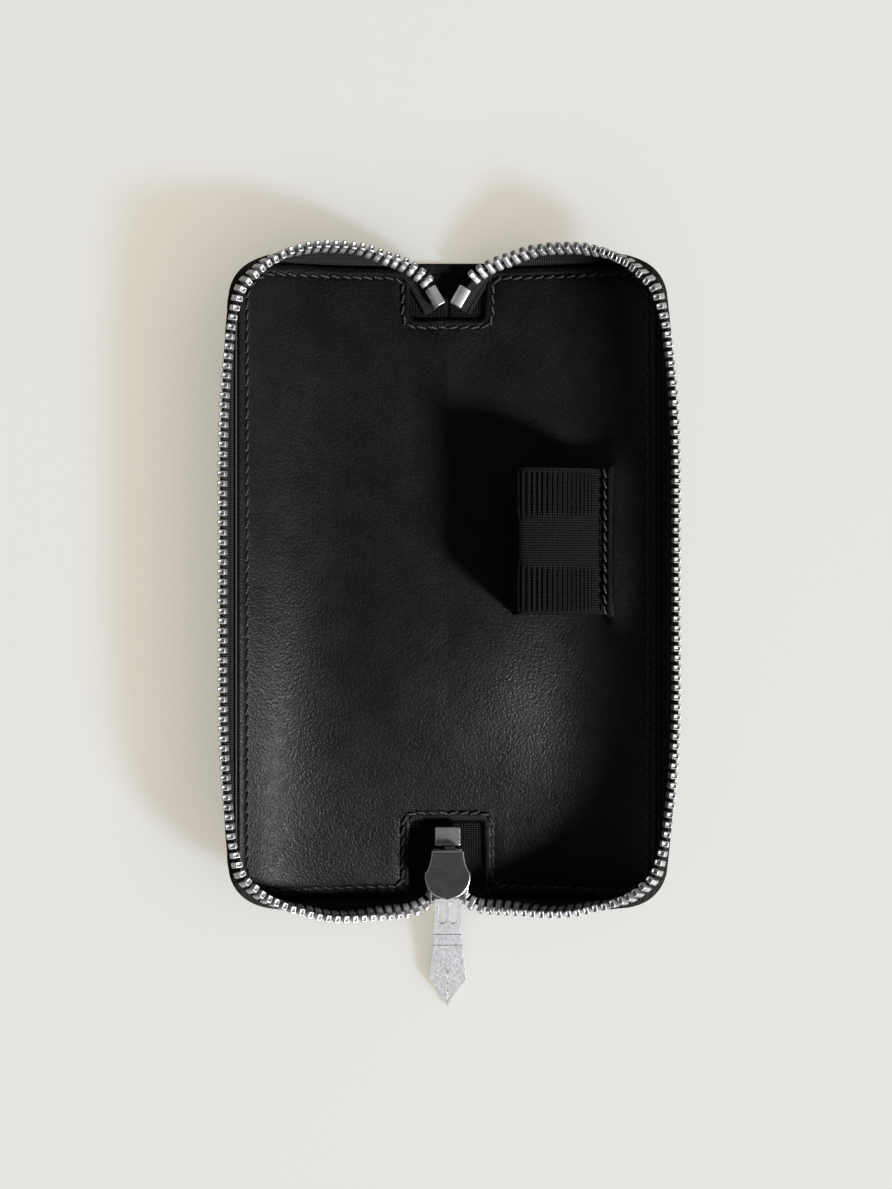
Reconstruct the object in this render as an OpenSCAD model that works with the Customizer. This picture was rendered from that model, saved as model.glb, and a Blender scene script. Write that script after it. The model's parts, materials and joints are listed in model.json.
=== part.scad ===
// Zip-round leather case for one fountain pen, lying open on its spine.
// The origin is the middle of the spine's flat outer face. +Y runs along
// the spine towards the top stops, +Z is up and the pen loop is on the
// +X side.

/* [Spine] */
// Distance from the middle of the spine to each fold
fold_x = 9; // [8:0.5:11]
// Length of the outer leather along the spine
case_length = 156.4; // [150:0.2:165]
// Length of the lining's notch at the top stops
top_notch = 13.9; // [10:0.1:18]
// Length of the lining's notch at the slider
bottom_notch = 19.9; // [18:0.1:24]

/* [Layers] */
// Thickness of the outer leather
cover_t = 1.2; // [0.9:0.1:1.4]
// Thickness of the stiffening board
board_t = 0.6; // [0.4:0.1:0.8]
// Thickness of the leather lining
lining_t = 0.9; // [0.7:0.1:1.1]

/* [Sides] */
// Distance from the middle of the spine to the edge of each side
edge_x = 52; // [48:0.5:54]
// Height of that edge when the case lies open
edge_z = 22.1; // [18:0.1:26]
// How far each side bows out from flat
side_sag = 4.8; // [1.5:0.1:6]
// Radius of each side's outer corners
corner_r = 9.9; // [8:0.1:12]
// How far the lining stops short of the leather's edge
lining_inset = 1.3; // [1.1:0.1:1.6]

/* [Zip] */
// Thickness of the woven tape
tape_t = 0.7; // [0.5:0.1:0.8]
// Diameter of the cord along the tape's edge
bead_d = 1.4; // [1.1:0.1:1.6]
// Distance from one tooth to the next
tooth_pitch = 2.33; // [2.1:0.01:2.6]
// Length of a tooth from the bead to its tip
tooth_l = 1.4; // [1.2:0.1:2]
// Size of a tooth along the row
tooth_w = 1.3; // [0.9:0.05:1.4]
// Size of a tooth across the tape
tooth_h = 1.7; // [1.2:0.1:2]
// Angle of the teeth above level, on the sides
side_tilt = 85; // [75:1:90]
// Angle of the teeth above level, on the end walls
end_tilt = 72; // [60:1:85]

/* [Pen loop] */
// Length of the loop along the pen
loop_l = 35.4; // [30:0.2:40]
// Middle of the loop along the case
loop_y = 9.8; // [0:0.2:20]
// Thickness of the elastic
loop_t = 1.2; // [0.8:0.1:1.4]

/* [Slider] */
// Length of the slider
slider_l = 12; // [11.5:0.1:12.5]
// Width of the slider's narrow end
slider_narrow = 7.4; // [7:0.1:8]
// Width of the slider's wide end
slider_wide = 10.6; // [10:0.1:11]
// Length of the pull from its pin to its tip
pull_l = 26.9; // [22:0.1:27]
// Greatest width of the pull
pull_w = 9; // [8:0.1:10]
// Thickness of the pull
pull_t = 1; // [0.9:0.1:1.2]
// Angle at which the pull slopes down to the table
pull_slope = 14.5; // [13:0.5:15]

/* [Hidden] */
$fn = 64;

layers_t = cover_t + board_t + lining_t;
half_l = case_length / 2;

// The fold: a rounded ridge of leather that a side turns on
fold_z = layers_t / 2;
fold_r = layers_t / 2;
fold_gap = 0.3;
spine_layer_x = fold_x - fold_r - 0.3;

// The bowed section of a side is an arc about (arc_cx, arc_cz)
chord_x = edge_x - fold_x;
chord_z = edge_z - fold_z;
chord = sqrt(chord_x * chord_x + chord_z * chord_z);
arc_r = (chord * chord / 4 + side_sag * side_sag) / (2 * side_sag);
arc_cx = (fold_x + edge_x) / 2 - (arc_r - side_sag) * chord_z / chord;
arc_cz = (fold_z + edge_z) / 2 + (arc_r - side_sag) * chord_x / chord;
outer_r = arc_r + layers_t / 2;
cover_r = outer_r - cover_t;
board_r = cover_r - board_t;
lining_r = board_r - lining_t;
side_top = 60;

// Height of a surface of radius r of the arc, at distance x from the spine
function arc_z(x, r) = arc_cz - sqrt(r * r - (x - arc_cx) * (x - arc_cx));

// The tape's foot follows the edge of the side, half way to the lining
foot_inset = lining_inset / 2;
foot_r = corner_r - foot_inset;
foot_x = edge_x - foot_inset;
foot_y = half_l - foot_inset;
straight_y = foot_y - foot_r;
straight_x = foot_x - foot_r;
tape_end_x = 17;
corner_l = foot_r * PI / 2;
quarter_l = straight_y + corner_l + straight_x - tape_end_x;

function clamp01(v) = min(1, max(0, v));
function smooth(v) = clamp01(v) * clamp01(v) * (3 - 2 * clamp01(v));
function lerp(a, b, v) = a + (b - a) * v;

// Place and outward direction of the foot, d along it from the side's middle
function foot_quarter(d) =
    d < straight_y ? [foot_x, d]
    : d < straight_y + corner_l ? let (a = (d - straight_y) / foot_r * 180 / PI)
        [straight_x + foot_r * cos(a), straight_y + foot_r * sin(a)]
    : [straight_x - (d - straight_y - corner_l), foot_y];
function turn_quarter(d) = 90 * clamp01((d - straight_y) / corner_l);
function foot(d) = let (p = foot_quarter(abs(d))) [p[0], sign(d) * p[1]];
function turn(d) = sign(d) * turn_quarter(abs(d));

// How far the rim reaches out of its foot: out along the sides and ends, in at the corners
side_reach = 3.9;
corner_reach = -2.2;
end_reach = 4.5;
reach_from = 20;
corner_d = straight_y + 6.7;
corner_fade = 22;
end_fall_x = 23;
end_fall_from = straight_y + corner_l + straight_x - end_fall_x;
function reach(d) = let (q = abs(d))
    (q < corner_d ? lerp(side_reach, corner_reach, pow(clamp01((q - reach_from) / (corner_d - reach_from)), 2.6))
        : lerp(corner_reach, end_reach, smooth((q - corner_d) / corner_fade)))
    - 0.03 * pow(max(0, q - end_fall_from), 2);

// Height of the tooth tips above the straight line from the fold to the edge
side_rise = 6;
end_rise = 6.9;
function chord_at(x) = fold_z + (x - fold_x) * chord_z / chord_x;
function rise(d) = lerp(side_rise, end_rise, smooth((abs(d) - straight_y) / 27));
function tilt(d) = lerp(side_tilt, end_tilt, smooth((abs(d) - straight_y) / corner_fade));

tooth_root = bead_d / 2 + 0.36;
tooth_tip = tooth_root + tooth_l;

// A point off the foot: out from it along the turn, at height z
function off_foot(d, out, z) = let (p = foot(d), a = turn(d)) [p[0] + out * cos(a), p[1] + out * sin(a), z];
function foot_z(d) = arc_z(foot(d)[0], cover_r);
function bead_z(d) = chord_at(foot(d)[0]) + rise(d) - tooth_tip * sin(tilt(d));
function bead_out(d) = reach(d) - tooth_tip * cos(tilt(d)) - tooth_h / 2 * sin(tilt(d));

// Section of the tape wall: two feet, a collar up past the lining's edge,
// a bulge and the round bead
tape_bulge = 0.4;
foot_lift = 0.5;
collar_h = board_t + lining_t + 0.4;
function tape_ring(d) = let (
        zf = foot_z(d) + foot_lift, zc = zf + collar_h, zb = bead_z(d), ob = bead_out(d),
        h = tape_t / 2, r = bead_d / 2, zm = (zc + zb) / 2, om = ob / 2 + tape_bulge)
    [off_foot(d, h, zf), off_foot(d, h, zc), off_foot(d, om + h, zm),
     off_foot(d, ob + r / 2, zb - r * sin(60)), off_foot(d, ob + r, zb), off_foot(d, ob, zb + r),
     off_foot(d, ob - r, zb), off_foot(d, om - h, zm), off_foot(d, -h, zc), off_foot(d, -h, zf)];
ring_n = 10;

// A tube of rings of ring_n points, closed at both ends
module loft(rings) {
    n = len(rings);
    points = [for (ring = rings) for (p = ring) p];
    walls = [for (i = [0:n - 2]) for (j = [0:ring_n - 1]) let (
            a = i * ring_n + j, b = i * ring_n + (j + 1) % ring_n)
        each [[a, b, b + ring_n], [a, b + ring_n, a + ring_n]]];
    ends = [for (j = [1:ring_n - 2]) each [[0, j + 1, j],
        [(n - 1) * ring_n, (n - 1) * ring_n + j, (n - 1) * ring_n + j + 1]]];
    polyhedron(points = points, faces = concat(walls, ends));
}

module mirrored(side) {
    if (side == "left") mirror([1, 0, 0]) children();
    else children();
}

// Extrudes a section drawn in X and Z along Y, from y0 to y1
module along_y(y0, y1) {
    translate([0, y1, 0]) rotate([90, 0, 0]) linear_extrude(y1 - y0) children();
}

// Outline of a side seen from above, drawn in by inset
module side_outline(inset) {
    x1 = edge_x - inset;
    y1 = half_l - inset;
    r = corner_r - inset;
    translate([fold_x, -y1]) square([x1 - r - fold_x, 2 * y1]);
    translate([fold_x, -(y1 - r)]) square([x1 - fold_x, 2 * (y1 - r)]);
    for (s = [-1, 1]) translate([x1 - r, s * (y1 - r)]) circle(r);
}

// One bowed layer of a side, between two radii of the arc
module side_layer(r_in, r_out, inset) {
    difference() {
        intersection() {
            along_y(-half_l - 1, half_l + 1) translate([arc_cx, arc_cz]) difference() {
                circle(r_out);
                circle(r_in);
            }
            translate([0, 0, -1]) linear_extrude(side_top) side_outline(inset);
        }
        along_y(-half_l - 2, half_l + 2) translate([fold_x, fold_z]) circle(fold_r + fold_gap);
    }
}

module side_cover(side) { color("#1c1b1b") mirrored(side) side_layer(cover_r, outer_r, 0); }
module side_board(side) { color("#77705f") mirrored(side) side_layer(board_r, cover_r, lining_inset); }
module side_lining(side) { color("#262525") mirrored(side) side_layer(lining_r, board_r, lining_inset); }

ring_step = 2;
module zip_tape(side) {
    n = ceil(2 * quarter_l / ring_step);
    color("#141414") mirrored(side)
        loft([for (i = [0:n]) tape_ring(-quarter_l + 2 * quarter_l * i / n)]);
}

// One tooth, standing out along X from its root at the origin
module tooth() {
    translate([0, -tooth_w / 2, -tooth_h / 2]) cube([tooth_l, tooth_w, tooth_h]);
}

// A tooth on the bead of a side, d along the foot from the side's middle
module placed_tooth(d) {
    translate(off_foot(d, bead_out(d), bead_z(d)))
        rotate([0, -tilt(d), turn(d)]) translate([tooth_root, 0, 0]) tooth();
}

module zip_teeth(side) {
    n = floor((2 * quarter_l - 2) / tooth_pitch);
    color("#c9c9cb") mirrored(side)
        for (i = [0:n]) placed_tooth((i - n / 2) * tooth_pitch);
}

// ---------------------------------------------------------------- spine

module spine_cover() {
    color("#1c1b1b") along_y(-half_l, half_l) {
        translate([-fold_x, 0]) square([2 * fold_x, cover_t]);
        for (s = [-1, 1]) translate([s * fold_x, fold_z]) circle(fold_r);
    }
}

module spine_layer(z, t) {
    y0 = -half_l + bottom_notch;
    y1 = half_l - top_notch;
    translate([-spine_layer_x, y0, z]) cube([2 * spine_layer_x, y1 - y0, t]);
}

module spine_stiffener() { color("#77705f") spine_layer(cover_t, board_t); }
module spine_lining() { color("#262525") spine_layer(cover_t + board_t, lining_t); }

// Zip tape in the notches: flat strips a little above the outer leather
tail_x = 7.1;
tail_z = 3;
notch_end_top = half_l - top_notch;
notch_end_bottom = -half_l + bottom_notch;
module tape_tails_top() {
    gap = 0.8;
    color("#141414") for (s = [-1, 1]) mirror([s < 0 ? 1 : 0, 0, 0])
        translate([gap, notch_end_top + 0.6, cover_t]) cube([tail_x - gap, 10.5, tail_z - cover_t]);
}

slider_y0 = -65.2;
slider_side_gap = 0.8;
module tape_tails_bottom() {
    strip_x = slider_wide / 2 + slider_side_gap;
    y0 = slider_y0 + 1.4;
    color("#141414") translate([0, 0, cover_t]) linear_extrude(tail_z - cover_t) {
        translate([-tail_x, y0]) square([2 * tail_x, notch_end_bottom - 0.5 - y0]);
        for (s = [-1, 1]) translate([s > 0 ? strip_x : -tail_x, slider_y0 - slider_l])
            square([tail_x - strip_x, slider_l + 2]);
    }
}

// A block with its top edges taken off, standing on z = 0
module bevelled(size, bevel) {
    intersection() {
        translate([-size[0] / 2, -size[1] / 2, 0]) cube(size);
        along_y(-size[1] / 2, size[1] / 2) polygon([
            [-size[0] / 2, 0], [size[0] / 2, 0], [size[0] / 2, size[2] - bevel],
            [size[0] / 2 - bevel, size[2]], [-size[0] / 2 + bevel, size[2]], [-size[0] / 2, size[2] - bevel]]);
    }
}

stop_size = [2.9, 4.9, 2.6];
stop_x = 3.1;
stop_y = 69.7;
stop_z = 3.9;
stop_angle = 30;
module top_stop(s) {
    color("#c9c9cb") translate([s * stop_x, stop_y, stop_z]) rotate([0, 0, -s * stop_angle])
        bevelled(stop_size, 0.4);
}

// The last teeth of each row, on the curve from the stop to the end wall
end_teeth_n = 2;
module top_end_teeth() {
    color("#c9c9cb") for (s = [-1, 1]) mirror([s < 0 ? 1 : 0, 0, 0]) for (i = [1:end_teeth_n])
        translate([stop_x + 0.9 * i, stop_y + 1.5 + 1.75 * i, stop_z + 1 + 0.6 * i])
            rotate([0, -20, 55 - 6 * i]) tooth();
}

bottom_stop_size = [6.3, 4.5, 2.6];
bottom_stop_y = -62;
module bottom_stop() {
    color("#9a9a9c") translate([0, bottom_stop_y, 3.1]) difference() {
        bevelled(bottom_stop_size, 0.5);
        translate([-5, -bottom_stop_size[1] / 2 - 0.1, -0.1]) cube([10, 0.3, 0.6]);
    }
}

// Joined teeth held between the two plates of the slider
chain_z = 4.1;
module bottom_end_teeth() {
    color("#c9c9cb") for (i = [0:2]) translate([0, -65 - tooth_pitch * 0.75 * i, chain_z])
        translate([i % 2 == 0 ? -1.6 : -0.8, -tooth_w / 2, 0]) cube([2.4, tooth_w, 1.3]);
}

// --------------------------------------------------------------- pen loop

// Point of a cubic curve through the control points a, b, c, e
function bezier(a, b, c, e, t) =
    a * pow(1 - t, 3) + b * 3 * t * pow(1 - t, 2) + c * 3 * t * t * (1 - t) + e * pow(t, 3);

loop_foot_x = 16.7;
loop_end_x = 38.7;
loop_clear = 0.1;
loop_foot = [loop_foot_x, arc_z(loop_foot_x, lining_r) + loop_clear];
loop_end = [loop_end_x, arc_z(loop_end_x, lining_r) + loop_clear];
loop_crown = [22.9, 22.5];
function loop_path(t) = t < 1
    ? bezier(loop_foot, loop_foot + [-0.7, 14], loop_crown + [-6.2, 0.3], loop_crown, t)
    : bezier(loop_crown, loop_crown + [7, -0.3], loop_end + [-2.4, 6.4], loop_end, t - 1);
loop_n = 24;
function loop_normal(t) = let (v = loop_path(min(2, t + 0.01)) - loop_path(max(0, t - 0.01)))
    [-v[1], v[0]] / norm(v);
function loop_side(out) = [for (i = [0:loop_n]) let (t = 2 * i / loop_n)
    loop_path(t) + out * loop_normal(t)];

module pen_loop() {
    outer = loop_side(loop_t / 2);
    inner = loop_side(-loop_t / 2);
    color("#202020") difference() {
        along_y(loop_y - loop_l / 2, loop_y + loop_l / 2)
            polygon(concat(outer, [for (i = [loop_n:-1:0]) inner[i]]));
        along_y(-half_l, half_l) translate([arc_cx, arc_cz]) difference() {
            circle(outer_r + 5);
            circle(lining_r - 0.02);
        }
    }
}

// A strip of leather on the lining, against the loop's sewn end
welt_w = 2.2;
welt_t = 1.3;
module loop_welt() {
    x0 = loop_end_x + loop_t / 2 + 0.4;
    color("#262525") intersection() {
        along_y(loop_y - loop_l / 2 - 0.6, loop_y + loop_l / 2 + 0.6)
            translate([arc_cx, arc_cz]) difference() {
                circle(lining_r);
                circle(lining_r - welt_t);
            }
        translate([x0, -half_l, 0]) cube([welt_w, case_length, side_top]);
    }
}

// ----------------------------------------------------------------- slider

plate_t = 1;
slider_z = 2.1;
channel_h = 2.7;
upper_z = slider_z + plate_t + channel_h;
flange_t = 0.7;
flange_h = 0.8;
shoulder_l = 3.4;

// Plan of a slider plate: straight sides, then a round wide end
module slider_plan(inset) {
    w0 = slider_narrow / 2 - inset;
    w1 = slider_wide / 2 - inset;
    translate([0, slider_y0]) polygon([
        [-w0, -inset], [w0, -inset], [w1, -(slider_l - shoulder_l)], [w1 - 0.6, -slider_l + 0.9],
        [w1 - 1.9, -slider_l + inset], [-w1 + 1.9, -slider_l + inset], [-w1 + 0.6, -slider_l + 0.9],
        [-w1, -(slider_l - shoulder_l)]]);
}

// Edge flanges run along the straight sides only
module flange_plan() {
    difference() {
        slider_plan(0);
        slider_plan(flange_t);
        translate([-10, slider_y0 - slider_l - 1]) square([20, shoulder_l + 1]);
        translate([-10, slider_y0 - flange_t - 0.2]) square([20, 2]);
    }
}

post_w = 2.4;
module slider_post() {
    y = slider_y0 - slider_l;
    polygon([[0, y + 5.2], [post_w / 2, y + 3.2], [post_w / 2, y + 0.4], [-post_w / 2, y + 0.4],
        [-post_w / 2, y + 3.2]]);
}

pin_r = 0.38;
pin_y = -77.6;
pin_z = 7.7;
ear_x = 4.2;
ear_t = 0.7;
module slider_body() {
    color("#8d8d90") {
        translate([0, 0, slider_z]) linear_extrude(plate_t) slider_plan(0);
        translate([0, 0, upper_z]) linear_extrude(plate_t) slider_plan(0);
        translate([0, 0, slider_z + plate_t]) linear_extrude(channel_h) slider_post();
        translate([0, 0, slider_z + plate_t]) linear_extrude(flange_h) flange_plan();
        translate([0, 0, upper_z - flange_h]) linear_extrude(flange_h) flange_plan();
        for (s = [-1, 1]) translate([s * ear_x - ear_t / 2, 0, 0]) difference() {
            translate([0, pin_y - 0.9, upper_z + 0.1]) cube([ear_t, 3.4, pin_z + 0.8 - upper_z]);
            translate([-1, pin_y, pin_z]) rotate([0, 90, 0]) cylinder(r = pin_r, h = ear_t + 2);
        }
    }
}

// The cap: a shield that narrows towards the bottom stop, hollow below
cap_z = upper_z + plate_t;
cap_h = 2.4;
cap_wall = 0.7;
cap_roof = 0.6;
cap_end_y = -77.2;
cap_round = 5.65;
cap_narrow = 3.9;
cap_waist = 4.5;
cap_waist_y = -69.6;
function cap_edge(inset) = let (r = cap_round - inset, cy = cap_end_y + cap_round) concat(
    [[cap_narrow - inset, slider_y0 - inset], [cap_waist - inset, cap_waist_y]],
    [for (a = [20:-10:-80]) [r * cos(a), cy + r * sin(a)]]);
module cap_plan(inset) {
    edge = cap_edge(inset);
    n = len(edge);
    polygon(concat(edge, [for (i = [n - 1:-1:0]) [-edge[i][0], edge[i][1]]]));
}
module slider_cap() {
    color("#444446") difference() {
        translate([0, 0, cap_z]) linear_extrude(cap_h) cap_plan(0);
        translate([0, 0, cap_z - 0.1]) linear_extrude(cap_h - cap_roof + 0.1) cap_plan(cap_wall);
        translate([-5, cap_end_y - 1, cap_z - 0.1]) cube([10, 3.2, cap_h - cap_roof + 0.1]);
    }
}

module lock_spring() {
    color("#b5a36a") {
        translate([-0.8, -74, cap_z + 0.9]) cube([1.6, 7.2, 0.25]);
        translate([-0.8, -67.2, cap_z]) cube([1.6, 0.4, 1.15]);
    }
}

module pull_pin() {
    l = 2 * ear_x + ear_t;
    color("#b8b8bb") translate([-l / 2, pin_y, pin_z]) rotate([0, 90, 0]) cylinder(r = pin_r, h = l);
}

// Outline of the pull, from its pin at the origin along -Y to the nib's tip
window_l = 5.7;
window_w = 1.75;
window_x = 1.35;
nib_y = pull_l - 7.6;
function nib_edge(t) = bezier([pull_w / 2, -nib_y], [pull_w / 2 + 0.1, -nib_y - 2.6],
    [0.9, -nib_y - 4.6], [0.25, -pull_l], t);
module pull_plan() {
    half = concat([[2.9, 0.9], [3.25, 0.4], [3.25, -window_l - 1.6], [3.55, -window_l - 4.4]],
        [for (i = [0:6]) let (a = i / 6) [lerp(3.6, pull_w / 2, smooth(a)), lerp(-window_l - 5.2, -nib_y, a)]],
        [for (i = [1:8]) nib_edge(i / 8)]);
    n = len(half);
    polygon(concat(half, [for (i = [n - 1:-1:0]) [-half[i][0], half[i][1]]]));
}
module window_plan(s) {
    translate([s * window_x - window_w / 2, -window_l + window_w / 2]) square([window_w, window_l - 1.9]);
    translate([s * window_x, -window_l + window_w / 2]) circle(window_w / 2);
}
breather_y = 17.9;
module pull_tab() {
    color("#cfcfd1") translate([0, pin_y, pin_z]) rotate([pull_slope, 0, 0]) difference() {
        union() {
            translate([0, 0, -pull_t / 2]) linear_extrude(pull_t) difference() {
                pull_plan();
                for (s = [-1, 1]) window_plan(s);
                translate([0, -breather_y]) circle(0.55);
                translate([-0.1, -pull_l - 1]) square([0.2, pull_l + 1 - breather_y]);
            }
            translate([-3.2, 0, 0]) rotate([0, 90, 0]) cylinder(r = 0.85, h = 6.4);
        }
        translate([-5, 0, 0]) rotate([0, 90, 0]) cylinder(r = pin_r + 0.05, h = 10);
        for (y = [8.3, 11.1]) translate([-6, -y - 0.15, pull_t / 2 - 0.12]) cube([12, 0.3, 1]);
    }
}

spine_cover();
spine_stiffener();
spine_lining();
tape_tails_top();
tape_tails_bottom();
top_stop(-1);  // top_stop_left
top_stop(1);  // top_stop_right
top_end_teeth();
bottom_stop();
bottom_end_teeth();
side_cover("left");  // left_cover
side_board("left");  // left_stiffener
side_lining("left");  // left_lining
zip_tape("left");  // left_zip_tape
zip_teeth("left");  // left_zip_teeth
side_cover("right");  // right_cover
side_board("right");  // right_stiffener
side_lining("right");  // right_lining
zip_tape("right");  // right_zip_tape
zip_teeth("right");  // right_zip_teeth
pen_loop();
loop_welt();
slider_body();
slider_cap();
lock_spring();
pull_pin();
pull_tab();
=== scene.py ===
"""Looks of a zip-round leather case for one fountain pen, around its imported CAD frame.

Lengths are in millimetres until a mesh is made. x is across the case, y along the spine, z up.
"""
import json
import math

import bmesh
import bpy
import numpy as np
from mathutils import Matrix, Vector


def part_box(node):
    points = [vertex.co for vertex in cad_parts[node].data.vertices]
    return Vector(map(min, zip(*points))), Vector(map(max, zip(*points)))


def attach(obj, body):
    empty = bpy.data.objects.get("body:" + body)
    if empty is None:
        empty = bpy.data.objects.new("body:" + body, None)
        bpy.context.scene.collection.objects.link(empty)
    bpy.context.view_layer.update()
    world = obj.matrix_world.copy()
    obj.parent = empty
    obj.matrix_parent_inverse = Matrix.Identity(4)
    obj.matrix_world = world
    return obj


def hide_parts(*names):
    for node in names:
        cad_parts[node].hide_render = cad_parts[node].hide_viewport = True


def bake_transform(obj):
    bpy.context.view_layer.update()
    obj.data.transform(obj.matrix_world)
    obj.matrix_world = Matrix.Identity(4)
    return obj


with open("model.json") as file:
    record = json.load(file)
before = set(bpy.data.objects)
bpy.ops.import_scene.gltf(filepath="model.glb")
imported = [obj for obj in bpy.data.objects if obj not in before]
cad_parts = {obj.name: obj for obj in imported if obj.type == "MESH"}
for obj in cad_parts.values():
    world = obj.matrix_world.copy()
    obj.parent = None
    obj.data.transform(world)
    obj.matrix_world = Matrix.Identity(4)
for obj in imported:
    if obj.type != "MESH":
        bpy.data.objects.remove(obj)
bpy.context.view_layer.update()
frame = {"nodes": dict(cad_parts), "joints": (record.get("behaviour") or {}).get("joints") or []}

MM = 0.001
SIDES = {"left": -1, "right": 1}


# ---------------- camera

CAMERA_AT = (-0.4, -3.0, 800.0)
SENSOR = 36.0
VIEW_HEIGHT = 290.9


def add_camera():
    """Looks straight down, with +Y up the picture."""
    data = bpy.data.cameras.new("camera")
    data.sensor_width = SENSOR
    data.lens = SENSOR * (CAMERA_AT[2] - 3) / VIEW_HEIGHT
    data.clip_start = 0.01
    camera = bpy.data.objects.new("camera", data)
    camera.location = Vector(CAMERA_AT) * MM
    bpy.context.scene.collection.objects.link(camera)
    bpy.context.scene.camera = camera


# ---------------- sizes, from the frame

def node_box(name):
    lo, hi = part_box(name)
    return np.array(lo) / MM, np.array(hi) / MM


def joint(name):
    return next(j for j in frame["joints"] if j["name"] == name)


fold_x, _, fold_z = (v / MM for v in joint("right_fold")["pos_m"])
_, pin_y, pin_z = (v / MM for v in joint("puller_swing")["pos_m"])
edge_x, half_l = node_box("right_cover")[1][:2]
lining_x, lining_y = node_box("right_lining")[1][:2]
notch_bottom = node_box("spine_lining")[0][1]
notch_top, layers_t = node_box("spine_lining")[1][1:]
cover_t = node_box("spine_stiffener")[0][2]
lining_t = layers_t - node_box("spine_lining")[0][2]
notch_x = fold_x + 0.2
edge_z = 22.1
side_sag = 4.8
corner_r = 9.9


def smooth(v):
    v = np.clip(v, 0, 1)
    return v * v * (3 - 2 * v)


def lerp(a, b, v):
    return a + (b - a) * v


# ---------------- the bowed side panel

chord_x, chord_z = edge_x - fold_x, edge_z - fold_z
chord = math.hypot(chord_x, chord_z)
arc_r = (chord ** 2 / 4 + side_sag ** 2) / (2 * side_sag)
arc_x = (fold_x + edge_x) / 2 - (arc_r - side_sag) * chord_z / chord
FOLD_EASE = 3.5
table_x = np.linspace(0, edge_x + 2, 2000)
table_slope = (np.arcsin(np.clip((table_x - arc_x) / arc_r, -1, 1))
               * smooth((table_x - fold_x) / (2 * FOLD_EASE) + 0.5))
table_step = table_x[1] - table_x[0]
table_z = fold_z + np.cumsum(np.tan(table_slope)) * table_step
table_s = np.cumsum(1 / np.cos(table_slope)) * table_step


def surface_z(x):
    return np.interp(x, table_x, table_z)


def slope_at(x):
    return np.interp(x, table_x, table_slope)


def along_at(x):
    return np.interp(x, table_x, table_s)


def on_layer(x, y, lift):
    """Points that stand lift above the middle surface of the layers, at x outward from the spine."""
    a = slope_at(x)
    return np.stack([x - lift * np.sin(a), y + 0 * a, surface_z(x) + lift * np.cos(a)], -1)


# ---------------- mesh helpers

def mesh_object(name, verts, faces, uvs=None, weld=False):
    """A smooth-shaded object of those points, with one UV in millimetres for each point."""
    mesh = bpy.data.meshes.new(name)
    mesh.from_pydata((np.asarray(verts) * MM).tolist(), [], faces)
    if uvs is not None:
        layer = mesh.uv_layers.new(name="mm")
        index = np.zeros(len(mesh.loops), int)
        mesh.loops.foreach_get("vertex_index", index)
        layer.data.foreach_set("uv", np.asarray(uvs, float)[index].ravel())
    if weld:
        bm = bmesh.new()
        bm.from_mesh(mesh)
        bmesh.ops.remove_doubles(bm, verts=bm.verts, dist=2e-6)
        bm.to_mesh(mesh)
        bm.free()
    mesh.polygons.foreach_set("use_smooth", [True] * len(mesh.polygons))
    mesh.update()
    piece = bpy.data.objects.new(name, mesh)
    bpy.context.scene.collection.objects.link(piece)
    return piece


def grid_faces(rows, cols, start=0, flip=False, wrap=False):
    """Quads of a grid of points stored row by row. wrap joins the last column to the first."""
    faces = []
    for r in range(rows - 1):
        for c in range(cols if wrap else cols - 1):
            a, b = start + r * cols + c, start + r * cols + (c + 1) % cols
            quad = (a, b, b + cols, a + cols)
            faces.append(quad[::-1] if flip else quad)
    return faces


def shell_faces(rows, cols, open_start=False):
    """A closed skin of two grids, the upper one first. open_start leaves out the wall at the first row."""
    half = rows * cols
    faces = grid_faces(rows, cols, flip=True) + grid_faces(rows, cols, half)
    border = ([r * cols + cols - 1 for r in range(rows)]
              + [(rows - 1) * cols + c for c in range(cols - 2, -1, -1)]
              + [r * cols for r in range(rows - 2, -1, -1)])
    if not open_start:
        border += list(range(1, cols))
    return faces + [(a, b, b + half, a + half) for a, b in zip(border, border[1:])]


def skin_object(name, high, low, uv):
    """A closed skin of two grids of points that share one grid of UVs."""
    verts = np.concatenate([high.reshape(-1, 3), low.reshape(-1, 3)])
    uvs = np.concatenate([uv.reshape(-1, 2)] * 2)
    return outward(mesh_object(name, verts, shell_faces(*uv.shape[:2]), uvs))


def rectangle(x0, y0, x1, y1):
    return [(x0, y0), (x1, y0), (x1, y1), (x0, y1)]


def tube_faces(rings, around, start=0):
    """A closed tube: quads along it and one face at each end."""
    last = start + (rings - 1) * around
    return (grid_faces(rings, around, start, wrap=True)
            + [tuple(range(start, start + around))[::-1], tuple(range(last, last + around))])


def outward(piece):
    """Turns every face outward."""
    bm = bmesh.new()
    bm.from_mesh(piece.data)
    bmesh.ops.recalc_face_normals(bm, faces=bm.faces)
    bm.to_mesh(piece.data)
    bm.free()
    return piece


def apply_modifiers(piece):
    """Replaces the mesh by what its modifiers make of it."""
    depsgraph = bpy.context.evaluated_depsgraph_get()
    mesh = bpy.data.meshes.new_from_object(piece.evaluated_get(depsgraph))
    piece.modifiers.clear()
    piece.data = mesh
    return piece


def bevel(piece, width, segments=2, angle=35):
    """Rounds the sharp edges of a hard piece and keeps its flat faces flat."""
    modifier = piece.modifiers.new("bevel", "BEVEL")
    modifier.width = width * MM
    modifier.segments = segments
    modifier.limit_method = "ANGLE"
    modifier.angle_limit = math.radians(angle)
    modifier.harden_normals = True
    return apply_modifiers(piece)


def mirror_points(points, sign):
    points = np.array(points, float)
    points[..., 0] *= sign
    return points


# ---------------- materials

def add_node(tree, kind, inputs=None, **settings):
    node = tree.nodes.new(kind)
    for key, value in settings.items():
        setattr(node, key, value)
    for key, value in (inputs or {}).items():
        if isinstance(value, bpy.types.NodeSocket):
            tree.links.new(value, node.inputs[key])
        else:
            node.inputs[key].default_value = value
    return node


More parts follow.
